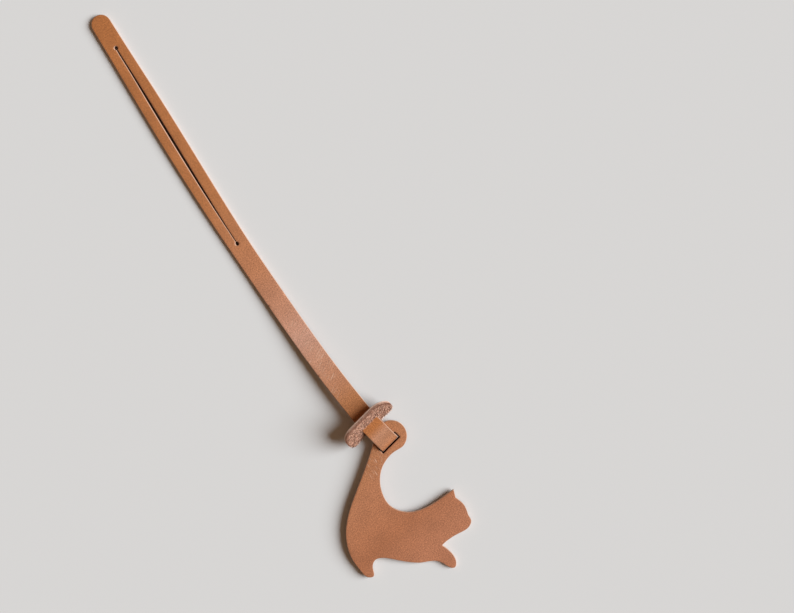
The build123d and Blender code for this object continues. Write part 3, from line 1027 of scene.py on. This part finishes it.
def fibre_material():
    """Colour of single fibres, from brown to pale by where they stand."""
    material, tree, shader = nodes_of("nap_fibre")
    place = put(tree, "ShaderNodeTexCoord").outputs["Object"]
    patch = noise(tree, place, Scale=NAP_PATCHES, Detail=2.0, Roughness=0.6)
    share = remapped(tree, patch, NAP_PATCH_LOW, NAP_PATCH_HIGH, 0.0, 1.0)
    colour = mixed(tree, share, FIBRE_BROWN, FIBRE_PALE)
    tree.links.new(colour, shader.inputs["Base Color"])
    dulled(shader, FIBRE_ROUGHNESS)
    return material


nap = nap_on_tab(loop_strap, fibre_material())
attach(nap, "loop")

# Cat charm
CHARM_DROOP = math.radians(2.197)
WAVE_HEIGHT = 0.08
WAVE_ACROSS, WAVE_ALONG = 9, 13
WAVE_SHIFT_ACROSS, WAVE_SHIFT_ALONG = 0.8, -0.4
SAME_CORNER = 0.01
FACE_BAND = 0.1


def charm_shape(flat, offset):
    """Places flat charm points, with slow waves in the hide, on the droop from the tail to the paw."""
    x, y = flat[:, 0], flat[:, 1]
    across, along = x / WAVE_ACROSS + WAVE_SHIFT_ACROSS, y / WAVE_ALONG + WAVE_SHIFT_ALONG
    rise = offset + WAVE_HEIGHT * (1 + np.sin(across) * np.sin(along))
    turned_y = y * math.cos(CHARM_DROOP) - rise * math.sin(CHARM_DROOP)
    turned_z = y * math.sin(CHARM_DROOP) + rise * math.cos(CHARM_DROOP)
    return np.stack([x, turned_y + FOLD_Y, turned_z + FOLD_Z], 1)


def merged(points, reach):
    """First of the points that lie in one place, for each point."""
    tree = kdtree.KDTree(len(points))
    for k, point in enumerate(points):
        tree.insert(point, k)
    tree.balance()
    return [min(k for _, k, _ in tree.find_range(point, reach)) for point in points]


def divided(ring, step):
    """Outline with its long edges divided."""
    points = []
    for a, b in zip(ring, np.roll(ring, -1, 0)):
        count = max(1, int(math.hypot(*(b - a)) / step + 0.5))
        points += [a + (b - a) * k / count for k in range(count)]
    return np.array(points)


def charm_outlines():
    """Outline and slot of the CAD charm's upper face, laid flat."""
    points = node_points("cat_charm") - (0, FOLD_Y, FOLD_Z)
    turned_y = points[:, 1] * math.cos(CHARM_DROOP) + points[:, 2] * math.sin(CHARM_DROOP)
    height = points[:, 2] * math.cos(CHARM_DROOP) - points[:, 1] * math.sin(CHARM_DROOP)
    same = merged(points, SAME_CORNER)
    used = set()
    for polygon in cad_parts["cat_charm"].data.polygons:
        if all(height[v] > THICKNESS / 2 - FACE_BAND for v in polygon.vertices):
            ring = [same[v] for v in polygon.vertices]
            used |= set(zip(ring, ring[1:] + ring[:1]))
    follow = {a: b for a, b in used if (b, a) not in used}
    outlines = []
    while follow:
        start, here = follow.popitem()
        ring = [start]
        while here != start:
            ring.append(here)
            here = follow.pop(here)
        outlines.append(divided(np.stack([points[ring, 0], turned_y[ring]], 1), EDGE_STEP))
    return sorted(outlines, key=len, reverse=True)


charm = leather_sheet(
    "cat_charm_leather", charm_outlines(), [EDGE_ROUND, CUT_ROUND],
    [], charm_shape, CHARM_GRID, [charm_grain, flesh, cut_edge, slot_wall], slot_closing)
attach(charm, "charm")
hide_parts("cat_charm")

# Floor, light and camera, in metres and degrees
FLOOR_REACH = 20
FLOOR_COLOUR = linear(216, 215, 213)
FLOOR_ROUGHNESS = 0.9
SKY_COLOUR = (1.0, 0.62, 0.37, 1)
SKY_STRENGTH = 0.17
WINDOW_COLOUR = (0.955, 1.02, 1.075)
WINDOW_STRENGTH = 4.72
WINDOW_SPREAD = 42
WINDOW_TILT, WINDOW_TURN = 55, -41
CAMERA_PLACE = (0.04155, 0.03207, 0.650)
CAMERA_TURN = -45
SENSOR_WIDTH, LENS = 36, 71.9


def pale_floor():
    mesh = bpy.data.meshes.new("floor")
    corners = [(x * FLOOR_REACH, y * FLOOR_REACH, 0) for x, y in ((-1, -1), (1, -1), (1, 1), (-1, 1))]
    mesh.from_pydata(corners, [], [(0, 1, 2, 3)])
    material, _, shader = nodes_of("pale_floor")
    shader.inputs["Base Color"].default_value = FLOOR_COLOUR
    dulled(shader, FLOOR_ROUGHNESS)
    mesh.materials.append(material)
    floor = bpy.data.objects.new("floor", mesh)
    bpy.context.scene.collection.objects.link(floor)


def studio_light():
    """Low warm light from all round, and a broad soft window at the right of the picture."""
    world = bpy.data.worlds.new("studio")
    world.use_nodes = True
    sky = world.node_tree.nodes["Background"].inputs
    sky["Color"].default_value = SKY_COLOUR
    sky["Strength"].default_value = SKY_STRENGTH
    bpy.context.scene.world = world
    window = bpy.data.lights.new("window", "SUN")
    window.energy = WINDOW_STRENGTH
    window.color = WINDOW_COLOUR
    window.angle = math.radians(WINDOW_SPREAD)
    lamp = bpy.data.objects.new("window", window)
    lamp.rotation_euler = (0, math.radians(WINDOW_TILT), math.radians(WINDOW_TURN))
    bpy.context.scene.collection.objects.link(lamp)


def camera_above():
    lens = bpy.data.cameras.new("camera")
    lens.sensor_width = SENSOR_WIDTH
    lens.lens = LENS
    camera = bpy.data.objects.new("camera", lens)
    camera.location = CAMERA_PLACE
    camera.rotation_euler = (0, 0, math.radians(CAMERA_TURN))
    bpy.context.scene.collection.objects.link(camera)
    bpy.context.scene.camera = camera


pale_floor()
studio_light()
camera_above()
bpy.context.scene.view_settings.view_transform = "Standard"
